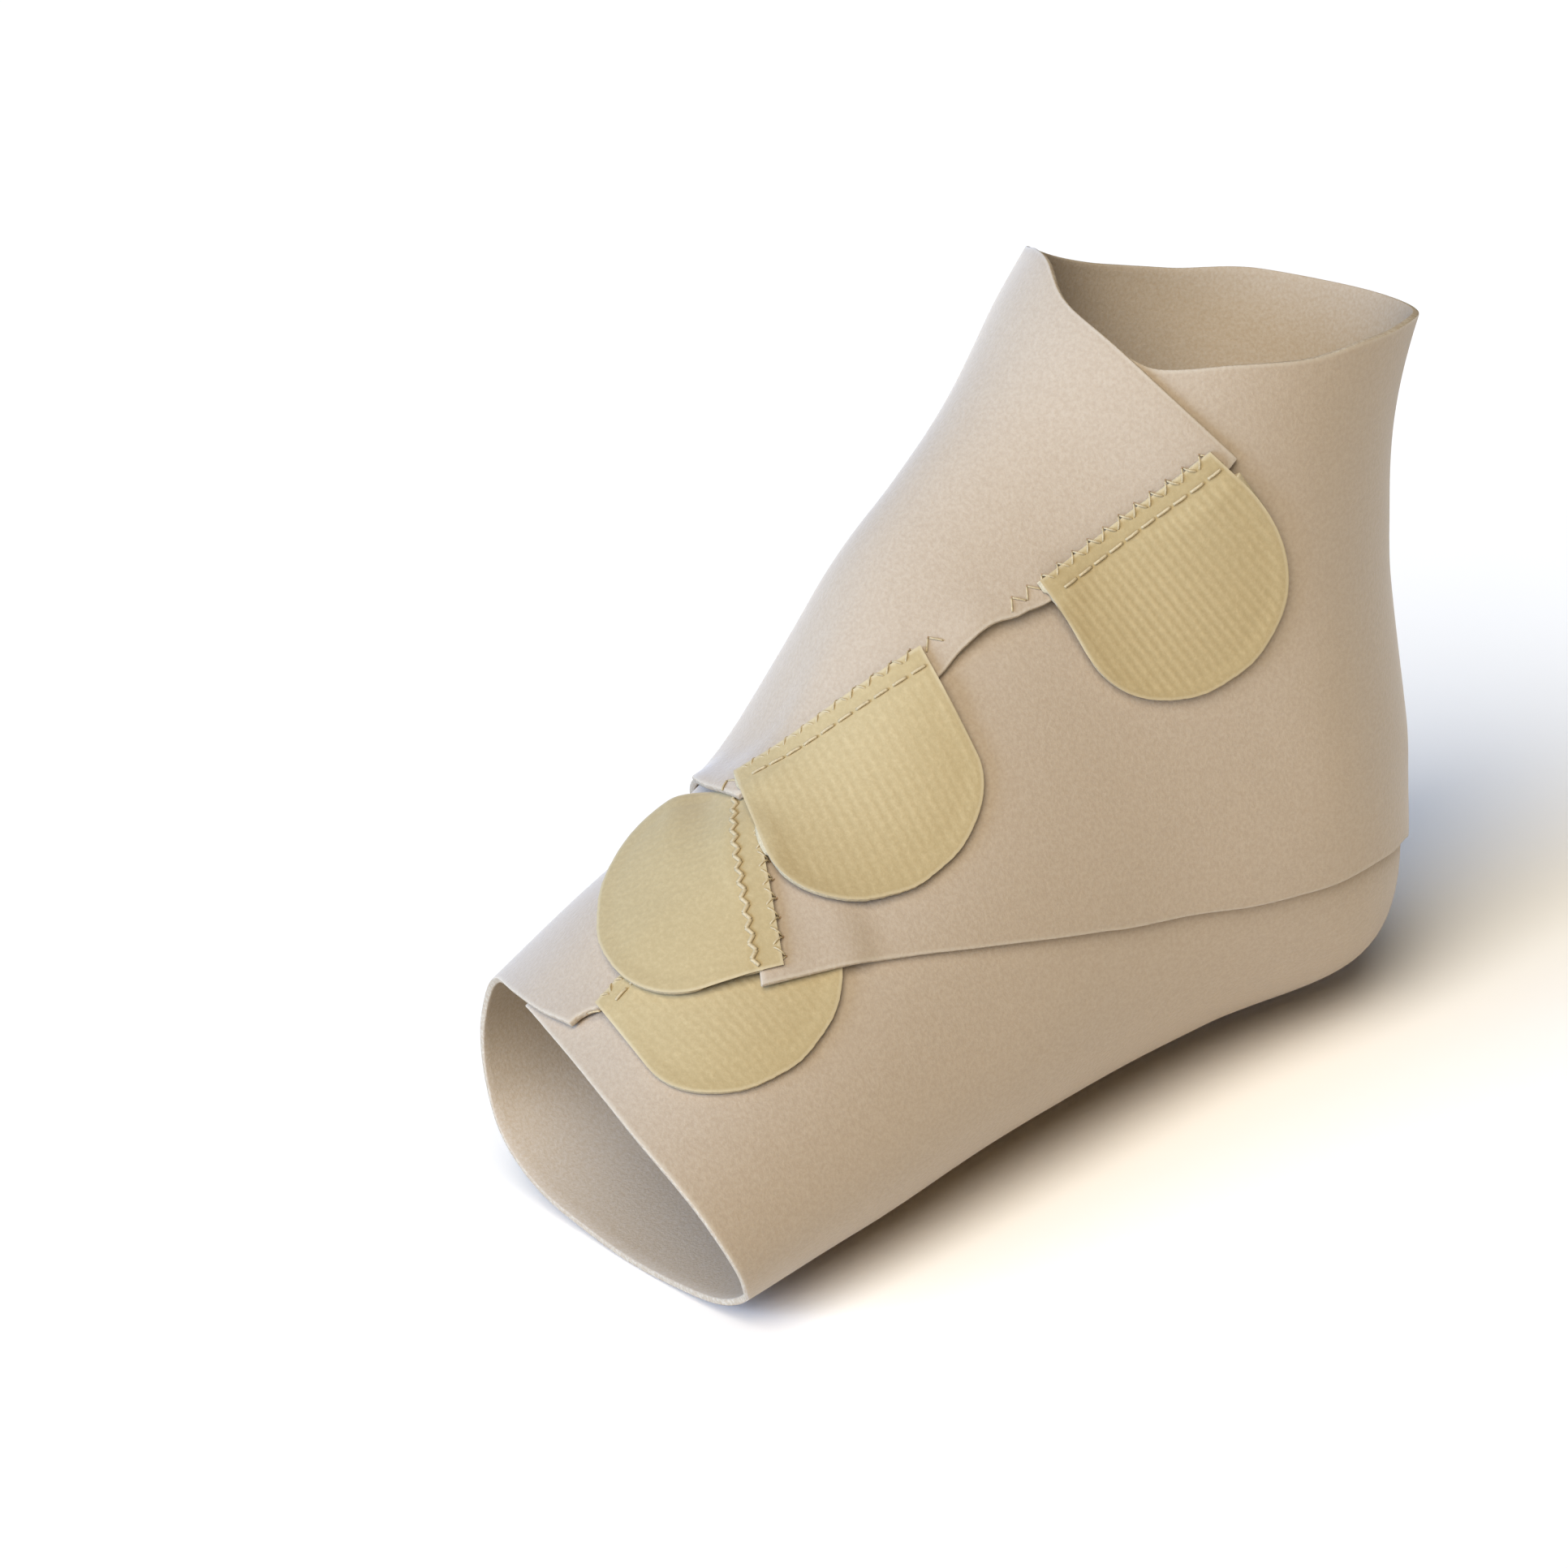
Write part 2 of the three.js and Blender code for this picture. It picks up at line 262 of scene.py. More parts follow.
def colour_prop(name, description, colour):
    """A colour given as an sRGB hex value."""
    return bpy.props.FloatVectorProperty(
        name=name, description=description, default=linear(colour), min=0, max=1, size=3, subtype="COLOR"
    )


class WrapSizes(bpy.types.PropertyGroup):
    """Sizes of the wrap's fabric, hook tape and thread."""

    fabric: length_prop("Fabric", "Thickness of the laminated fabric", 0.0013)
    tape: length_prop("Hook tape", "Thickness of the hook tabs", 0.0009)
    tab_width: length_prop("Tab width", "Length of a tab's sewn edge", 0.038)
    ease: length_prop("Ease", "From the form to the inside of the first layer", 0.0012)
    layer_gap: length_prop("Layer gap", "Clearance between one layer and the next", 0.00014)
    rib_pitch: length_prop("Rib pitch", "From one rib of the hook tape to the next", 0.00173)
    rib_height: length_prop("Rib height", "Height of the ribs of the hook tape", 0.0001)
    edge_stitch: length_prop("Edge stitch", "From one needle hole of the edge seam to the next", 0.0035)
    dash: length_prop("Dash", "Length of a stitch of the second seam", 0.0026)
    dash_gap: length_prop("Dash gap", "Between two stitches of the second seam", 0.0009)
    thread: length_prop("Thread", "Diameter of the sewing thread", 0.00036)
    seam_inset: length_prop("Second seam", "From a tab's sewn edge to its second seam", 0.0032)


class WrapColours(bpy.types.PropertyGroup):
    """Colours of the wrap's materials."""

    face: colour_prop("Loop face", "Outside of the fabric", "#AA9579")
    face_shade: colour_prop("Loop face shade", "Between the loops of the outside", "#A08A6E")
    lining: colour_prop("Lining", "Inside of the fabric", "#B7A68F")
    cut: colour_prop("Cut edge", "Cut edges of the fabric, where its foam shows", "#BDAD92")
    tape: colour_prop("Hook tape", "Ribs of the hook tape", "#B1996B")
    # the darker tape colour is both random specks and painted shade in the grooves between the ribs
    tape_shade: colour_prop("Hook tape shade", "Between the ribs of the hook tape", "#A0895C")
    tape_cut: colour_prop("Hook tape edge", "Cut edges of the hook tape", "#B9A57E")
    thread: colour_prop("Thread", "Sewing thread", "#B69F75")
    # painted shade: the dark lenses at the needle holes stand in for the shade inside them
    hole: colour_prop("Needle hole", "Shade inside the needle holes", "#94734E")
    floor: colour_prop("Floor", "Floor of the stage", "#FDF4E4")


class WrapStage(bpy.types.PropertyGroup):
    """Light and camera of the stage."""

    key: number_prop("Key light", "Strength of the soft light above the camera", 3.65, min=0)
    window: number_prop("Window light", "Strength of the cool light from the toes' side", 6.5, min=0)
    window_colour: colour_prop("Window colour", "Colour of the cool light", "#A1C5FF")
    sky: number_prop("Surroundings", "Strength of the white surroundings", 0.04, min=0)
    azimuth: angle_prop("Azimuth", "Camera's way round from the toes towards the lateral side", 60)
    elevation: angle_prop("Elevation", "Camera's height above the horizon", 21.4)
    roll: angle_prop("Roll", "Camera's tilt to its side", -9.7)
    distance: length_prop("Distance", "From the camera to the middle of the wrap", 1.19)
    lens: number_prop("Lens", "Focal length for a 36 mm wide sensor", 153.7, unit="CAMERA")


def spline(rows, at):
    """Catmull-Rom spline through the rows of a table, at fractional row numbers."""
    rows = np.array(rows, float)
    last = len(rows) - 1
    place = np.clip(at, 0, last)
    i = np.minimum(place.astype(int), last - 1)
    f = (place - i)[..., None]
    b = rows[i]
    c = rows[i + 1]
    a = np.where((i > 0)[..., None], rows[i - 1], 2 * b - c)
    d = np.where((i + 2 <= last)[..., None], rows[np.minimum(i + 2, last)], 2 * c - b)
    return b + 0.5 * f * (c - a + f * (2 * a - 5 * b + 4 * c - d + f * (3 * (b - c) + d - a)))


def dot(a, b):
    """Dot product along the last axis."""
    return (a * b).sum(-1)


def unit(v):
    """Vectors of length one along the last axis."""
    return v / np.linalg.norm(v, axis=-1, keepdims=True)


def smooth_step(x):
    """From 0 at 0 to 1 at 1, flat at both ends."""
    x = np.clip(x, 0, 1)
    return x * x * (3 - 2 * x)


def form_point(station, turn):
    """Places on the form, in millimetres."""
    columns = np.moveaxis(spline(FORM, station), -1, 0)
    top_y, top_z, sole_y, sole_z, lateral, medial, level, fullness = columns
    c = np.cos(np.radians(turn))
    s = np.sin(np.radians(turn))
    power = 2 / np.where(c >= 0, TOP_FULLNESS, fullness)
    height = np.abs(c) ** power
    down = np.where(c >= 0, level * (1 - height), level + (1 - level) * height)
    x = np.where(s >= 0, lateral, -medial) * np.abs(s) ** power
    return np.stack([x, top_y + down * (sole_y - top_y), top_z + down * (sole_z - top_z)], -1)


def form_frame(station, turn):
    """Tangents of the form along its stations and turns, and its outward normals."""
    onwards = form_point(station + STATION_STEP, turn) - form_point(station - STATION_STEP, turn)
    around = form_point(station, turn + TURN_STEP) - form_point(station, turn - TURN_STEP)
    onwards = onwards / (2 * STATION_STEP)
    around = around / (2 * TURN_STEP)
    return onwards, around, unit(np.cross(around, onwards))


def walk(station, turn, heading, length):
    """Walks straight lines on the form: each heading is kept as nearly as the surface allows."""
    steps = max(1, math.ceil(np.abs(length).max() / WALK_STEP))
    stride = length / steps
    for _ in range(steps):
        onwards, around, normal = form_frame(station, turn)
        heading = unit(heading - dot(heading, normal)[..., None] * normal)
        oo = dot(onwards, onwards)
        aa = dot(around, around)
        oa = dot(onwards, around)
        wo = dot(heading, onwards) * stride
        wa = dot(heading, around) * stride
        area = oo * aa - oa * oa
        station = station + (wo * aa - wa * oa) / area
        turn = turn + (wa * oo - wo * oa) / area
    return station, turn, heading


def settle(station, turn, place):
    """Millimetres that all layers stand off together: slow waves in the stretched cloth, and a press
    inwards where most layers are stacked on the ridge of the instep."""
    bend = WAVE_BEND * np.sin(place[..., 2] / BEND_RUN)
    waves = sum(np.sin((place / runs).sum(-1) + start + sways * bend) for runs, start, sways in WAVES)
    ridge = (turn + 180) % 360 - 180
    press = np.exp(-((ridge / PRESS_TURNS) ** 2) - ((station - PRESS_STATION) / PRESS_STATIONS) ** 2)
    return WAVE_HEIGHT * waves - PRESS * press


class Sheet:
    """A grid of spots on the form, columns by rows, with how far each is lifted off it."""

    def __init__(self, station, turn, thickness, ease):
        self.turn = turn
        self.place = form_point(station, turn)
        self.normal = form_frame(station, turn)[2]
        self.settled = settle(station, turn, self.place)
        self.thickness = thickness
        self.lift = np.full(turn.shape, ease)

    def to_edges(self):
        """Millimetres along the grid's lines to its first and last columns and its first and last rows."""
        round_steps = np.linalg.norm(np.diff(self.place, axis=0), axis=-1)
        cross_steps = np.linalg.norm(np.diff(self.place, axis=1), axis=-1)
        from_start = np.pad(np.cumsum(round_steps, axis=0), ((1, 0), (0, 0)))
        from_low = np.pad(np.cumsum(cross_steps, axis=1), ((0, 0), (1, 0)))
        return from_start, from_start[-1:] - from_start, from_low, from_low[:, -1:] - from_low

    def outside(self):
        """Outer face of the sheet, in metres."""
        off = self.lift + self.thickness + self.settled
        return (self.place + self.normal * off[..., None]) * MM

    def top_at(self, columns, place):
        """Height of the outer face over places on the form, and how far the sheet's nearest spot is."""
        near = self.place[columns].reshape(-1, 3)
        top = (self.lift + self.thickness)[columns].reshape(-1)
        away = np.linalg.norm(place[:, None] - near[None], axis=-1)
        best = np.argsort(away, axis=1)[:, :NEAREST]
        weight = 1 / (np.take_along_axis(away, best, 1) + NEAR_SOFT)
        return (top[best] * weight).sum(1) / weight.sum(1), away.min(1)


def soften(values, spread):
    """Averages a grid with its neighbours, over a spread in columns and rows."""
    for axis, cells in enumerate(spread):
        n = math.ceil(KERNEL_REACH * cells)
        kernel = np.exp(-0.5 * (np.arange(-n, n + 1) / cells) ** 2)
        width = [(n, n) if k == axis else (0, 0) for k in (0, 1)]
        wide = np.pad(values, width, mode="edge")
        values = np.apply_along_axis(np.convolve, axis, wide, kernel / kernel.sum(), mode="valid")
    return values


def lay(name, sheet, columns, laid, gap):
    """Lifts some columns of a sheet clear of all that lies under them, and keeps them for later layers."""
    is_tab = name in TABS
    ramp = TAB_RAMP if is_tab else PANEL_RAMP
    reach = TAB_NEAR if is_tab else PANEL_NEAR
    place = sheet.place[columns]
    turn = sheet.turn[columns]
    lift = sheet.lift[columns]
    first_layer = lift.min() + sheet.thickness + gap
    for under_name, under, under_columns in laid:
        under_place = under.place[under_columns].reshape(-1, 3)
        under_turn = under.turn[under_columns].reshape(-1)
        under_top = (under.lift + under.thickness)[under_columns].reshape(-1)
        for i in range(0, len(place), CHUNK):
            some = place[i : i + CHUNK].reshape(-1, 3)
            near = ((under_place > some.min(0) - reach) & (under_place < some.max(0) + reach)).all(1)
            if not near.any():
                continue
            felt = under_place[near]
            squared = dot(some, some)[:, None] + dot(felt, felt)[None] - 2 * some @ felt.T
            away = np.sqrt(np.maximum(squared, 0))
            past = np.maximum(0, away - REACH)
            support = under_top[near] + gap - ramp * past
            if not is_tab:
                easy = np.minimum(under_top[near] + gap, first_layer) - EASY_RAMP * past
                support = np.maximum(support, easy)
            if under_name == name:
                further = turn[i : i + CHUNK].reshape(-1, 1) - under_turn[near]
                support[further < OWN_LAYER] = 0
            part = lift[i : i + CHUNK]
            lift[i : i + CHUNK] = np.maximum(part, support.max(1).reshape(part.shape))
    if is_tab:
        rest = lift
        for _ in range(STIFF_PASSES):
            lift = np.maximum(rest, soften(lift, TAB_SPREAD))
        sheet.lift[columns] = soften(lift, TAB_FINISH)
    else:
        sheet.lift[columns] = soften(lift, PANEL_SPREAD)
    laid.append((name, sheet, columns))


def panel_sheet(ribs, grid, thickness, ease, end_shape):
    """Sheet of a panel between its ribs, with the last rib moved on by the shape of its end."""
    last = len(ribs) - 1
    at = np.linspace(0, last, grid[0] + 1)
    share = np.linspace(0, 1, grid[1] + 1)[None]
    turn_a, station_a, turn_b, station_b = (v[:, None] for v in spline(ribs, at).T)
    turn = turn_a + share * (turn_b - turn_a)
    station = station_a + share * (station_b - station_a)
    shaped = np.clip(1 - (last - at) / END_RIBS, 0, 1)[:, None]
    row = np.interp(share, [rise for rise, _ in end_shape], np.arange(len(end_shape)))
    turn = turn + shaped * spline(end_shape, row)[..., 1]
    return Sheet(station, turn, thickness, ease)


def sewn_edge(name, distance):
    """Stations, turns and headings at some distances along a tab's sewn edge."""
    turn, station, towards_turn, towards_station = TABS[name][:4]
    edge = form_point(np.array(towards_station), np.array(towards_turn))
    edge = edge - form_point(np.array(station), np.array(turn))
    start_station = np.full(distance.shape, float(station))
    start_turn = np.full(distance.shape, float(turn))
    return walk(start_station, start_turn, np.broadcast_to(edge, (*distance.shape, 3)), distance)


class Tab(Sheet):
    """Sheet of a D-shaped hook tab: straight lines across the form from its straight sewn edge."""

    def __init__(self, name, sizes):
        first_lean, last_lean, length, first_side, last_side = TABS[name][4:9]
        self.width = sizes.tab_width / MM
        side = np.sin(np.linspace(-1, 1, TAB_GRID[0] + 1) * np.pi / 2)
        share = (1 + side) / 2  # of the way along the sewn edge
        straight = first_side + share * (last_side - first_side)
        reach = straight + (length - straight) * np.sqrt(1 - side**2)
        wave = CUT_WAVE * np.sin(CUT_WAVES * side + length)
        burr = CUT_BURR * np.sin(CUT_BURRS[0] * side) * np.sin(CUT_BURRS[1] * side + length)
        self.reach = reach + (wave + burr) * (1 - side**2)
        self.lean = np.radians(first_lean + share * (last_lean - first_lean))
        station, turn, heading = sewn_edge(name, self.width * share)
        heading = lean_in(station, turn, heading, self.lean)
        stations = [station]
        turns = [turn]
        for _ in range(TAB_GRID[1]):
            station, turn, heading = walk(station, turn, heading, self.reach / TAB_GRID[1])
            stations.append(station)
            turns.append(turn)
        super().__init__(np.stack(stations, 1), np.stack(turns, 1), sizes.tape / MM, sizes.ease / MM)
        along = np.linspace(0, 1, TAB_GRID[1] + 1)[None] * self.reach[:, None]
        self.side = side[:, None]
        lean = self.lean[:, None]
        across = self.width * share[:, None] - along * np.sin(lean)
        self.flat = np.stack([across, along * np.cos(lean)], -1)
        outline = np.concatenate([self.flat[0], self.flat[1:-1, -1], self.flat[-1, ::-1]])
        offsets = (column[:, None] - outline[None] for column in self.flat)
        self.to_outline = np.array([np.linalg.norm(offset, axis=-1).min(1) for offset in offsets])
        self.seam = self.flat[..., 1]
        self.edge = np.minimum(self.to_outline, self.seam)
        x, y = outline.T
        self.flat_area = abs(np.sum(x * np.roll(y, -1) - y * np.roll(x, -1))) / 2
        self.flat_size = (np.ptp(x), np.ptp(y))

    def spot(self, distance, inset):
        """Places in metres on the tab's outside, some way along its sewn edge and some way in."""
        side = np.clip(2 * distance / self.width - 1, -1, 1)
        column = (np.arcsin(side) / (np.pi / 2) + 1) / 2 * TAB_GRID[0]
        i = np.minimum(column.astype(int), TAB_GRID[0] - 1)
        f = (column - i)[:, None]
        row = inset / self.reach[i] * TAB_GRID[1]
        j = np.minimum(row.astype(int), TAB_GRID[1] - 1)
        g = (row - j)[:, None]
        face = self.outside()
        low = face[i, j] * (1 - f) + face[i + 1, j] * f
        high = face[i, j + 1] * (1 - f) + face[i + 1, j + 1] * f
        return low * (1 - g) + high * g, self.normal[i, j]


def lean_in(station, turn, heading, lean):
    """Headings from a tab's sewn edge into the tab, at some leans in radians."""
    normal = form_frame(station, turn)[2]
    inwards = np.cross(normal, unit(heading))
    lean = np.asarray(lean)[..., None]
    return inwards * np.cos(lean) + np.cross(normal, inwards) * np.sin(lean)


def loosen_tab(name, tab):
    """Springs up a tab's outline, and lets the midfoot tab run on straight where the instep falls away."""
    free = smooth_step((tab.seam - SEAM_FLAT) / RIM_RUN)
    tab.lift = tab.lift + free * RIM_LIFT * (1 - smooth_step(tab.to_outline / RIM_WIDTH))
    if name == "hook_tab_midfoot":
        along = smooth_step((tab.seam - SPRING_START) / SPRING_RUN)
        across = smooth_step((tab.side - SPRING_SIDE) / SPRING_SIDES)
        tab.lift = tab.lift + SPRING * along * across


def loosen_panel(name, panel):
    """Lifts the free corners of a panel, and the cut-out of the band's end."""
    from_start, to_end, from_low, _ = panel.to_edges()
    corner = np.hypot(to_end if name == "foot_panel" else from_start, from_low)
    panel.lift = panel.lift + CORNER_LIFT * np.exp(-((corner / CORNER_REACH) ** 2))
    if name == "ankle_band":
        share = np.linspace(0, 1, BAND_GRID[1] + 1)[None]
        rise = smooth_step((share - NOTCH_FROM[0]) / NOTCH_FROM[1])
        fall = smooth_step((NOTCH_TO[0] - share) / NOTCH_TO[1])
        panel.lift = panel.lift + NOTCH_LIFT * rise * fall * np.exp(-((to_end / NOTCH_REACH) ** 2))


def rib_tape(name, tab, sizes):
    """Relief of a tab in millimetres: ribs that come and go and die out at its rim, and its second seam. It
    keeps the ribs' pattern on the tab, which also paints shade into their grooves.
    """
    lean = tab.lean.mean()
    x, y = np.moveaxis(tab.flat, -1, 0)
    across = x * math.cos(lean) + y * math.sin(lean)
    wave = 0.5 + 0.5 * np.cos(2 * np.pi * across / (sizes.rib_pitch / MM))
    worn = np.sin(x / WORN_RUNS[0] + tab.width) * np.sin(y / WORN_RUNS[1] + WORN_START)
    worn = 1 - RIB_WORN + RIB_WORN * worn
    fade = smooth_step((tab.edge - RIM_BARE) / RIB_FADE)
    fade = fade * smooth_step((tab.seam - SEAM_FLAT + SEAM_FADE) / (2 * SEAM_FADE))
    tab.rib = wave * fade * worn * TABS[name][9]
    inset = WIDE_INSET if name == "hook_tab_midfoot" else sizes.seam_inset / MM
    groove = np.exp(-(((tab.seam - inset) / GROOVE_WIDTH) ** 2))
    return tab.rib * sizes.rib_height / MM - SEAM_GROOVE * groove


LAID = {}  # filled when a sheet is first needed


def layers():
    """All sheets of the wrap, laid in the order that they are closed."""
    if LAID:
        return LAID
    sizes = bpy.context.scene.wrap_sizes
    fabric = sizes.fabric / MM
    ease = sizes.ease / MM
    sheets = {name: Tab(name, sizes) for name in TABS}
    sheets["foot_panel"] = panel_sheet(FOOT_RIBS, FOOT_GRID, fabric, ease, FOOT_END)
    sheets["ankle_band"] = panel_sheet(BAND_RIBS, BAND_GRID, fabric, ease, BAND_END)
    order = (
        ("foot_panel", FIRST_FOOT),
        ("foot_panel", LAST_FOOT),
        ("hook_tab_forefoot", slice(None)),
        ("ankle_band", FIRST_BAND),
        ("hook_tab_midfoot", slice(None)),
        ("ankle_band", LAST_BAND),
        ("hook_tab_instep", slice(None)),
        ("hook_tab_ankle", slice(None)),
    )
    laid = []
    for name, columns in order:
        sheet = sheets[name]
        lay(name, sheet, columns, laid, sizes.layer_gap / MM)
        if name in TABS:
            loosen_tab(name, sheet)
            pressed = sheet.seam.min(0) < SPRING_START
            rows = pressed if name == "hook_tab_midfoot" else slice(None)
            laid[-1] = (name, sheet, (slice(None, None, TAB_KEPT), rows))
        elif columns.stop is None:
            loosen_panel(name, sheet)
    LAID.update(sheets)
    return LAID


def deselect():
    """Leaves nothing selected, so that an operator acts only on the piece in hand."""
    bpy.ops.object.select_all(action="DESELECT")


def take_up(piece):
    """Makes a piece the only selected and the active object."""
    deselect()
    piece.select_set(True)
    bpy.context.view_layer.objects.active = piece


def apply_modifiers(piece):
    """Applies a piece's modifiers in order."""
    take_up(piece)
    for name in [m.name for m in piece.modifiers]:
        bpy.ops.object.modifier_apply(modifier=name)


BEVEL_WIDTH = 0.00028
BEVEL_ANGLE = math.radians(50)


def cloth_piece(name, points, thickness, materials, attributes):
    """Closed cloth over a grid of points on its outside, with a lining and a rounded cut edge."""
    columns, rows = points.shape[:2]
    index = np.arange(columns * rows).reshape(columns, rows)
    quads = np.stack([index[:-1, :-1], index[1:, :-1], index[1:, 1:], index[:-1, 1:]], -1).reshape(-1, 4)
    mesh = bpy.data.meshes.new(name)
    mesh.from_pydata(points.reshape(-1, 3).tolist(), [], quads.tolist())
    for key, values in attributes.items():
        mesh.attributes.new(key, "FLOAT", "POINT").data.foreach_set("value", values.reshape(-1).astype("f"))
    for material in materials:
        mesh.materials.append(material)
    piece = bpy.data.objects.new(name, mesh)
    bpy.context.scene.collection.objects.link(piece)
    wall = piece.modifiers.new("Wall", "SOLIDIFY")
    wall.thickness = thickness
    wall.offset = -1
    wall.use_even_offset = True
    wall.use_quality_normals = True
    wall.material_offset = 1
    wall.material_offset_rim = 2
    edge = piece.modifiers.new("Cut edge", "BEVEL")
    edge.width = BEVEL_WIDTH
    edge.segments = 2
    edge.limit_method = "ANGLE"
    edge.angle_limit = BEVEL_ANGLE
    apply_modifiers(piece)
    bpy.ops.object.shade_smooth()
    return piece


def node(tree, kind, settings=None, inputs=None):
    """Adds a node with its settings, and its inputs as numbers or as links from other nodes' outputs."""
    new = tree.nodes.new(kind)
    for key, value in (settings or {}).items():
        setattr(new, key, value)
    for key, value in (inputs or {}).items():
        if isinstance(value, bpy.types.NodeSocket):
            tree.links.new(value, new.inputs[key])
        else:
            new.inputs[key].default_value = value
    return new


def opaque(colour):
    """A colour property with full alpha, as sockets take it."""
    return (*colour, 1.0)


SMOOTH = {"interpolation_type": "SMOOTHSTEP"}
COLOURS = {"data_type": "RGBA"}
NO_SHEEN = (0, "#FFFFFF")  # weight and tint


def fibrous(
    name, shade, colour, size, detail, spread, depth, roughness, specular, sheen=NO_SHEEN, rib=0, border=None
):
    """A material of fine fibres, made once. Noise with specks of a size takes it from its shade to its
    colour over a spread, with relief of a depth. A rib and groove shade is the weight by which the ribs'
    pattern lightens rib tops over the darker grooves, as painted light and shade. A border is the colour
    that cut edges pale to, by how much, and how far in that starts to fade and is gone. Lengths are in
    millimetres."""
    if name in bpy.data.materials:
        return bpy.data.materials[name]
    material = bpy.data.materials.new(name)
    material.use_nodes = True
    tree = material.node_tree
    tree.nodes.clear()
    place = node(tree, "ShaderNodeTexCoord").outputs["Object"]
    inputs = {"Vector": place, "Scale": 1 / (size * MM), "Detail": detail, "Roughness": 0.6}
    specks = node(tree, "ShaderNodeTexNoise", inputs=inputs).outputs["Fac"]
    tone = specks
    # painted light and shade: the ribs' pattern lightens the rib tops and leaves the grooves darker
    if rib:
        ribs = node(tree, "ShaderNodeAttribute", {"attribute_name": "rib"}).outputs["Fac"]
        inputs = {0: ribs, 1: rib, 2: specks}
        tone = node(tree, "ShaderNodeMath", {"operation": "MULTIPLY_ADD"}, inputs).outputs[0]
    inputs = {"Value": tone, "From Min": spread[0], "From Max": spread[1]}
    share = node(tree, "ShaderNodeMapRange", SMOOTH, inputs).outputs[0]
    inputs = {0: share, 6: opaque(shade), 7: opaque(colour)}
    mixed = node(tree, "ShaderNodeMix", COLOURS, inputs).outputs[2]
    if border:
        pale, most, near, far = border
        edge = node(tree, "ShaderNodeAttribute", {"attribute_name": "edge_mm"}).outputs["Fac"]
        inputs = {"Value": edge, "From Min": near, "From Max": far, "To Min": most, "To Max": 0.0}
        share = node(tree, "ShaderNodeMapRange", SMOOTH, inputs).outputs[0]
        mixed = node(tree, "ShaderNodeMix", COLOURS, {0: share, 6: mixed, 7: opaque(pale)}).outputs[2]
    inputs = {"Strength": 0.5, "Distance": depth * MM, "Height": specks}
    bump = node(tree, "ShaderNodeBump", inputs=inputs).outputs[0]
    inputs = {
        "Base Color": mixed,
        "Normal": bump,
        "Roughness": roughness,
        "Specular IOR Level": specular,
        "Sheen Weight": sheen[0],
        "Sheen Roughness": 0.5,
        "Sheen Tint": opaque(linear(sheen[1])),
    }
    shader = node(tree, "ShaderNodeBsdfPrincipled", inputs=inputs)
    node(tree, "ShaderNodeOutputMaterial", inputs={"Surface": shader.outputs[0]})
    return material


def loop_face(colours):
    """Brushed loop fabric on foam: a matte, faintly mottled pile that whitens where it is seen edge on."""
    name = "brushed loop laminate"
    size = 0.7  # the pile's real loops are half as wide, and would not show
    spread = (0.25, 0.75)
    sheen = (0.8, "#DFDAD3")
    border = (colours.cut, 0.35, 0.25, 0.9)
    return fibrous(name, colours.face_shade, colours.face, size, 3, spread, 0.2, 0.9, 0.2, sheen, 0, border)


def lining(colours):
    """Soft knitted lining on the inside of the foam: smoother and a little paler than the loop face."""
    return fibrous("knitted lining", colours.face, colours.lining, 0.6, 2, (0.1, 0.9), 0.15, 0.9, 0.15)


def cut_edge(colours):
    """Cut edge of the laminate: pale open-celled foam between two thin knits."""
    return fibrous("cut laminate edge", colours.face, colours.cut, 0.7, 2, (0.35, 0.75), 0.2, 0.95, 0.1)


def hook_tape(colours):
    """Woven nylon hook tape: straw-coloured ribs of tiny stiff hooks, with painted shade in the grooves
    between them and a pale cut border.
    """
    name = "woven hook tape"
    spread = (0.3, 1.1)
    sheen = (0.35, "#DFD8CC")
    # weight of the painted shade in the grooves between the ribs
    rib = 0.36
    border = (colours.tape_cut, 0.5, 0.2, 0.7)
    return fibrous(
        name, colours.tape_shade, colours.tape, 0.8, 3, spread, 0.12, 0.75, 0.3, sheen, rib, border
    )


FIBRE_SHADE = 0.78  # how much of its colour a small piece keeps between its fibres
PLAIN = {
    # colour and roughness
    "twisted polyester thread": ("thread", 0.6),  # a little paler than the tape, with a soft gloss
    "shaded needle hole": ("hole", 0.95),  # painted shade inside a needle hole, dark and dull
    "cut tape edge": ("tape_cut", 0.8),  # the tape's pale backing, where it is cut
}


def plain_fibres(name):
    """A small piece's material: one colour with fine darker fibres in it."""
    key, roughness = PLAIN[name]
    colour = getattr(bpy.context.scene.wrap_colours, key)
    shade = tuple(FIBRE_SHADE * c for c in colour)
    return fibrous(name, shade, colour, 0.5, 2, (0.3, 0.7), 0.05, roughness, 0.3)


def cloth_area(sheet):
    """Area of a sheet's outside, in square metres."""
    p = sheet.outside()
    across = p[1:, 1:] - p[:-1, :-1]
    other = p[:-1, 1:] - p[1:, :-1]
    return float(np.linalg.norm(np.cross(across, other), axis=-1).sum() / 2)


def cut_size(sheet):
    """Width and length in metres that a panel is cut from: its widest rib and its longest line."""
    _, to_end, _, to_high = sheet.to_edges()
    return to_high[:, 0].max() * MM, to_end[0].max() * MM


def wind_panel(name):
    """Makes the cloth of a panel in place of its plain solid, and works out its area and the size it was cut
    from, without using them.
    """
    sheet = layers()[name]
    thickness = bpy.context.scene.wrap_sizes.fabric
    colours = bpy.context.scene.wrap_colours
    materials = [loop_face(colours), lining(colours), cut_edge(colours)]
    attributes = {"edge_mm": np.minimum.reduce(sheet.to_edges())}
    piece = cloth_piece(name + "_cloth", sheet.outside(), thickness, materials, attributes)
    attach(piece, "root")
    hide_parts(name)
    area = cloth_area(sheet)
    cut_size(sheet)


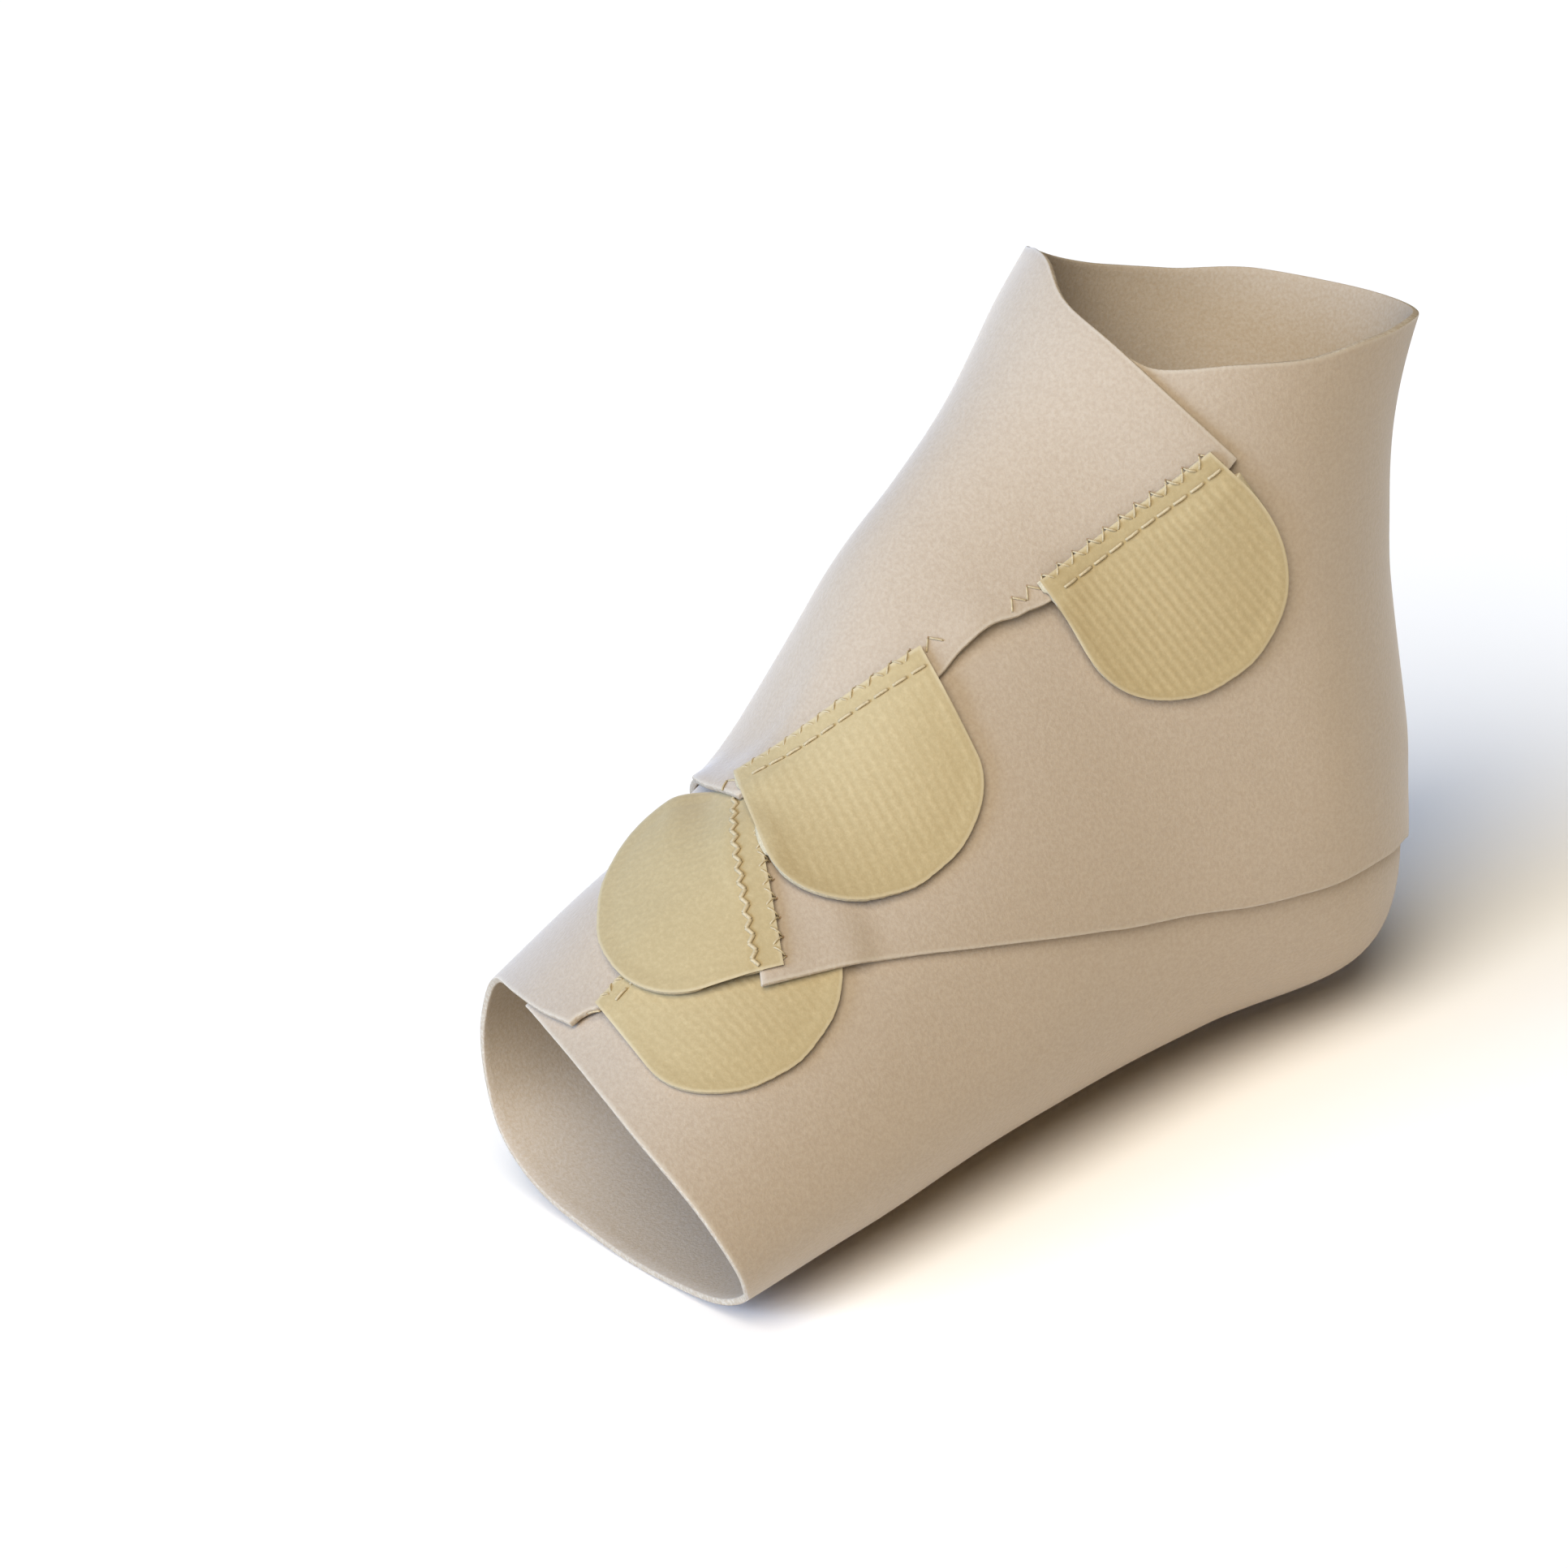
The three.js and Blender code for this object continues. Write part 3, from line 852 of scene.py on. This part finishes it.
class WRAP_OT_foot_panel(bpy.types.Operator):
    """Wind the foot panel round the forefoot, sole and heel"""

    bl_idname = "wrap.foot_panel"
    bl_label = "Foot Panel"

    def execute(self, context):
        wind_panel("foot_panel")
        return {"FINISHED"}


class WRAP_OT_ankle_band(bpy.types.Operator):
    """Wind the ankle band from the midfoot round the heel and over the front of the ankle"""

    bl_idname = "wrap.ankle_band"
    bl_label = "Ankle Band"

    def execute(self, context):
        wind_panel("ankle_band")
        return {"FINISHED"}


class WRAP_OT_hook_tabs(bpy.types.Operator):
    """Press the ribbed hook tabs down where they close the wrap"""

    bl_idname = "wrap.hook_tabs"
    bl_label = "Hook Tabs"

    def execute(self, context):
        sizes = context.scene.wrap_sizes
        tape = hook_tape(context.scene.wrap_colours)
        materials = [tape, tape, plain_fibres("cut tape edge")]
        for name in TABS:
            tab = layers()[name]
            ribs = rib_tape(name, tab, sizes)
            points = tab.outside() + tab.normal * ribs[..., None] * MM
            # the ribs' pattern goes to the material, which paints shade into their grooves
            attributes = {"edge_mm": tab.edge, "rib": tab.rib}
            piece = cloth_piece(name + "_tape", points, sizes.tape, materials, attributes)
            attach(piece, "root")
            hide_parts(name)
        return {"FINISHED"}


THREAD_SIDES = 6
THREAD_RINGS = 7
OVERCAST_IN = 1.35  # millimetres from the tape's sewn edge to the inner end of an edge stitch
OVERCAST_OUT = 0.62  # and to its needle hole in the fabric outside
OVERCAST_BEND = math.radians(140)
DASH_BEND = math.radians(30)
STITCH_SINK = 0.12  # millimetres that the ends of an edge stitch sink in
DASH_THREAD = 1.5  # the second seam's thread is this many times as thick
DASH_SINK = 0.62  # share of its thickness that a stitch of the second seam sinks in
# the needle holes' painted shade, as small dark lenses on the cloth
HOLE_SIZE = 0.55  # millimetres across
HOLE_DEPTH = 0.25  # as a share of its size
HOLE_WAY = np.array((1.0, 0.3, 0.2))  # any way but a normal's
SEAM_START = 0.8  # millimetres from a tab's corner to its second seam's first stitch
TAB_MARGIN = 0.3  # millimetres of tape between its corners and any stitch
DASH_SLACK = 1.06  # a flat stitch's thread is this many times as long as its way
OVERCAST_SLACK = 1.1
WIDE_SEAM = 0.5  # millimetres that the midfoot tab's second seam goes to each side
WIDE_THREAD = 2.3  # its thread is this many times as thick
ON_CLOTH = 1.7  # millimetres to the fabric's nearest spot, past which a stitch is left out


def bent_thread(length, thickness, bend):
    """A short thread along X, bent by an angle so that its ends go down along Y."""
    deselect()
    bpy.ops.mesh.primitive_cylinder_add(
        vertices=THREAD_SIDES, radius=thickness / 2, depth=length, rotation=(0, math.pi / 2, 0)
    )
    thread = bpy.context.active_object
    bpy.ops.object.transform_apply(location=False, rotation=True, scale=False)
    bpy.ops.object.mode_set(mode="EDIT")
    for ring in range(1, THREAD_RINGS):
        bpy.ops.mesh.select_all(action="SELECT")
        place = (ring / THREAD_RINGS - 0.5) * length
        bpy.ops.mesh.bisect(plane_co=(place, 0, 0), plane_no=(1, 0, 0))
    bpy.ops.object.mode_set(mode="OBJECT")
    arch = thread.modifiers.new("Arch", "SIMPLE_DEFORM")
    arch.deform_method = "BEND"
    arch.deform_axis = "Z"
    arch.angle = -bend
    apply_modifiers(thread)
    thread.data.materials.append(plain_fibres("twisted polyester thread"))
    bpy.ops.object.shade_smooth()
    return thread


def painted_hole_shade():
    """A needle hole's painted shade: a low dark lens, flat along Y, that stands in for the shade inside the
    hole.
    """
    deselect()
    size = HOLE_SIZE * MM
    bpy.ops.mesh.primitive_uv_sphere_add(
        segments=10, ring_count=5, radius=size / 2, scale=(1, HOLE_DEPTH, 1)
    )
    hole = bpy.context.active_object
    bpy.ops.object.transform_apply(location=False, rotation=False, scale=True)
    hole.data.materials.append(plain_fibres("shaded needle hole"))
    bpy.ops.object.shade_smooth()
    return hole


def placed_copy(base, place, along, up):
    """A copy of a small piece whose X points along and whose Y points up, with its place in its mesh."""
    x = unit(along)
    y = unit(up - dot(up, x) * x)
    axes = Matrix((x, y, np.cross(x, y))).transposed().to_4x4()
    copy = base.copy()
    copy.data = base.data.copy()
    copy.data.transform(Matrix.Translation(place) @ axes)
    bpy.context.scene.collection.objects.link(copy)
    return copy


def joined(name, copies):
    """One piece made of several copies."""
    take_up(copies[0])
    for copy in copies:
        copy.select_set(True)
    bpy.ops.object.join()
    piece = bpy.context.active_object
    piece.name = name
    piece.data.name = name
    return piece


class WRAP_OT_seams(bpy.types.Operator):
    """Sew each hook tab on with an overcast edge seam and a second seam"""

    bl_idname = "wrap.seams"
    bl_label = "Seams"

    def execute(self, context):
        sizes = context.scene.wrap_sizes
        pitch = sizes.edge_stitch / MM
        swing = math.hypot(sizes.dash / 2, 2 * WIDE_SEAM * MM)
        chord = math.hypot(OVERCAST_IN + OVERCAST_OUT, pitch / 4) * MM
        arc = math.hypot(chord, sizes.tape) * (OVERCAST_BEND / 2) / math.sin(OVERCAST_BEND / 2)
        dash = bent_thread(sizes.dash * DASH_SLACK, sizes.thread * DASH_THREAD, DASH_BEND)
        wide_dash = bent_thread(swing * DASH_SLACK, sizes.thread * WIDE_THREAD, DASH_BEND)
        flat_overcast = bent_thread(chord * OVERCAST_SLACK, sizes.thread, DASH_BEND)
        overcast = bent_thread(arc, sizes.thread, OVERCAST_BEND)
        # dark lenses of painted shade for the needle holes
        hole = painted_hole_shade()
        for name in TABS:
            copies = self.edge_seam(name, pitch, overcast, flat_overcast, hole)
            stitch = wide_dash if name == "hook_tab_midfoot" else dash
            copies += self.second_seam(name, sizes, stitch)
            piece = joined(name + "_seams", copies)
            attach(piece, "root")
        for base in (dash, wide_dash, hole, flat_overcast, overcast):
            bpy.data.objects.remove(base)
        return {"FINISHED"}

    def on_cloth(self, name, distance, inset):
        """Places in metres on the fabric under a tab, their normals, and whether fabric is there."""
        panel, columns = SEWN_ON[name]
        station, turn, heading = sewn_edge(name, distance)
        inwards = lean_in(station, turn, heading, np.zeros(distance.shape))
        station, turn, _ = walk(station, turn, inwards, inset)
        place = form_point(station, turn)
        normal = form_frame(station, turn)[2]
        top, away = layers()[panel].top_at(columns, place)
        off = top + settle(station, turn, place)
        return (place + normal * off[:, None]) * MM, normal, away < ON_CLOTH

    def edge_seam(self, name, pitch, overcast, flat_overcast, hole):
        """Zigzag over the tab's sewn edge, which runs on past its corners."""
        tab = layers()[name]
        before, after = TABS[name][10:]
        first = -math.floor(before / pitch)
        last = math.floor((tab.width + after) / pitch)
        outer = (np.arange(first, last + 1) + 0.5) * pitch
        out_place, out_normal, on_panel = self.on_cloth(name, outer, np.full(outer.shape, -OVERCAST_OUT))
        sink = STITCH_SINK * MM
        starts = out_place - out_normal * sink
        copies = []
        for lean in (-pitch / 2, pitch / 2):
            inner = outer + lean
            inset = np.full(inner.shape, OVERCAST_IN)
            on_tab = (inner > TAB_MARGIN) & (inner < tab.width - TAB_MARGIN)
            tab_place, tab_normal = tab.spot(inner, inset)
            cloth_place, cloth_normal, also_on = self.on_cloth(name, inner, inset)
            tab_end = tab_place - tab_normal * sink
            ends = np.where(on_tab[:, None], tab_end, cloth_place - cloth_normal * sink)
            for i in np.nonzero(on_panel & (on_tab | also_on))[0]:
                thread = overcast if on_tab[i] else flat_overcast
                copies.append(self.stitch(thread, starts[i], ends[i], out_normal[i]))
        # painted shade of the needle holes, as dark lenses on the fabric
        for i in np.nonzero(on_panel)[0]:
            copies.append(placed_copy(hole, out_place[i], HOLE_WAY, out_normal[i]))
        return copies

    def second_seam(self, name, sizes, dash):
        """Row of dashes across the tab, straight or, on the midfoot tab, a narrow zigzag."""
        tab = layers()[name]
        length = sizes.dash / MM
        gap = sizes.dash_gap / MM
        inset = sizes.seam_inset / MM
        aside = 0.0
        if name == "hook_tab_midfoot":
            length = length / 2
            gap = 0.0
            inset = WIDE_INSET
            aside = WIDE_SEAM
        starts = np.arange(SEAM_START, tab.width - length - TAB_MARGIN, length + gap)
        swing = aside * (-1.0) ** np.arange(len(starts))
        start_place, normal = tab.spot(starts, inset - swing)
        end_place, _ = tab.spot(starts + length, inset + swing)
        sunk = normal * DASH_SINK * dash.dimensions.z
        return [
            self.stitch(dash, a, b, n) for a, b, n in zip(start_place - sunk, end_place - sunk, normal)
        ]

    def stitch(self, base, start, end, normal):
        """A copy of a bent thread from start to end, arched away from the cloth."""
        across = unit(end - start)
        up = unit(normal - dot(normal, across) * across)
        height = np.ptp([v.co.y for v in base.data.vertices]) - base.dimensions.z / 2
        return placed_copy(base, (start + end) / 2 + up * height, end - start, up)


FLOOR_SIZE = 8.0
FLOOR_GAP = 0.0006
AIM = Vector((0.0, 0.0, 0.056))
AIM_RIGHT = 374 / 8247  # how far right of the picture's middle the aim lies, as a share of the focal length
AIM_UP = 69 / 8247  # and how far above it
KEY_WAY = (-0.12, 0.46, 0.88)  # towards a light: to the camera's right, up, and back to the camera
WINDOW_WAY = (-0.88, 0.06, 0.46)
LIGHT_SPREAD = math.radians(45)  # how wide each light looks from the wrap
SENSOR_WIDTH = 36  # millimetres
CLIP_START = 0.05


class WRAP_OT_stage(bpy.types.Operator):
    """Set up the pale floor, the soft light and the camera"""

    bl_idname = "wrap.stage"
    bl_label = "Stage"

    def execute(self, context):
        stage = context.scene.wrap_stage
        deselect()
        low = CAD_BOX[0][2] - FLOOR_GAP
        bpy.ops.mesh.primitive_plane_add(size=FLOOR_SIZE, location=(0, 0, low))
        floor = context.active_object
        floor.name = "floor"
        board = bpy.data.materials.new("matte white board")
        board.use_nodes = True
        shader = board.node_tree.nodes["Principled BSDF"]
        shader.inputs["Base Color"].default_value = opaque(context.scene.wrap_colours.floor)
        shader.inputs["Roughness"].default_value = 0.9
        floor.data.materials.append(board)

        world = bpy.data.worlds.new("studio surroundings")
        world.use_nodes = True
        background = world.node_tree.nodes["Background"]
        background.inputs["Color"].default_value = (1, 1, 1, 1)
        background.inputs["Strength"].default_value = stage.sky
        context.scene.world = world

        a = stage.azimuth
        e = stage.elevation
        back = Vector((math.sin(a) * math.cos(e), -math.cos(a) * math.cos(e), math.sin(e)))
        right = Vector((math.cos(a), math.sin(a), 0))
        up = back.cross(right)
        axes = Matrix((right, up, back)).transposed()
        self.light("key", axes @ Vector(KEY_WAY), stage.key, (1, 1, 1))
        self.light("window", axes @ Vector(WINDOW_WAY), stage.window, stage.window_colour)

        turn = Matrix.Rotation(stage.roll, 3, back)
        right = turn @ right
        up = turn @ up
        eye = AIM + back * stage.distance
        forward = (-back - right * AIM_RIGHT - up * AIM_UP).normalized()
        right = (right - forward * right.dot(forward)).normalized()
        up = right.cross(forward)
        axes = Matrix((right, up, -forward)).transposed()
        bpy.ops.object.camera_add()
        camera = context.active_object
        camera.name = "camera"
        camera.matrix_world = Matrix.Translation(eye) @ axes.to_4x4()
        camera.data.sensor_width = SENSOR_WIDTH
        camera.data.lens = stage.lens
        camera.data.clip_start = CLIP_START
        context.scene.camera = camera
        context.scene.view_settings.view_transform = "Standard"
        context.scene.view_settings.look = "None"
        return {"FINISHED"}

    def light(self, name, way, strength, colour):
        """A wide soft light from one way."""
        bpy.ops.object.light_add(type="SUN", location=AIM + way)
        lamp = bpy.context.active_object
        lamp.name = name
        lamp.data.energy = strength
        lamp.data.color = colour
        lamp.data.angle = LIGHT_SPREAD
        lamp.rotation_euler = way.to_track_quat("Z", "Y").to_euler()


class WRAP_PT_panel(bpy.types.Panel):
    """Sizes, colours and building steps of the wrap"""

    bl_label = "Foot Compression Wrap"
    bl_idname = "WRAP_PT_panel"
    bl_space_type = "VIEW_3D"
    bl_region_type = "UI"
    bl_category = "Wrap"

    def draw(self, context):
        for group in (context.scene.wrap_sizes, context.scene.wrap_colours, context.scene.wrap_stage):
            box = self.layout.box()
            for key in group.__annotations__:
                box.prop(group, key)
        for step in STEPS:
            self.layout.operator(step.bl_idname)


STEPS = (WRAP_OT_foot_panel, WRAP_OT_ankle_band, WRAP_OT_hook_tabs, WRAP_OT_seams, WRAP_OT_stage)
CLASSES = (WrapSizes, WrapColours, WrapStage, *STEPS, WRAP_PT_panel)


def register():
    """Registers the classes and hangs the settings on the scene."""
    for cls in CLASSES:
        bpy.utils.register_class(cls)
    bpy.types.Scene.wrap_sizes = bpy.props.PointerProperty(type=WrapSizes)
    bpy.types.Scene.wrap_colours = bpy.props.PointerProperty(type=WrapColours)
    bpy.types.Scene.wrap_stage = bpy.props.PointerProperty(type=WrapStage)


def unregister():
    """Takes the settings off the scene and unregisters the classes."""
    del bpy.types.Scene.wrap_stage
    del bpy.types.Scene.wrap_colours
    del bpy.types.Scene.wrap_sizes
    for cls in reversed(CLASSES):
        bpy.utils.unregister_class(cls)


def main():
    """Builds the wrap and the stage."""
    register()
    deselect()
    bpy.ops.wrap.foot_panel()
    bpy.ops.wrap.ankle_band()
    bpy.ops.wrap.hook_tabs()
    bpy.ops.wrap.seams()
    bpy.ops.wrap.stage()


if __name__ == "__main__":
    main()
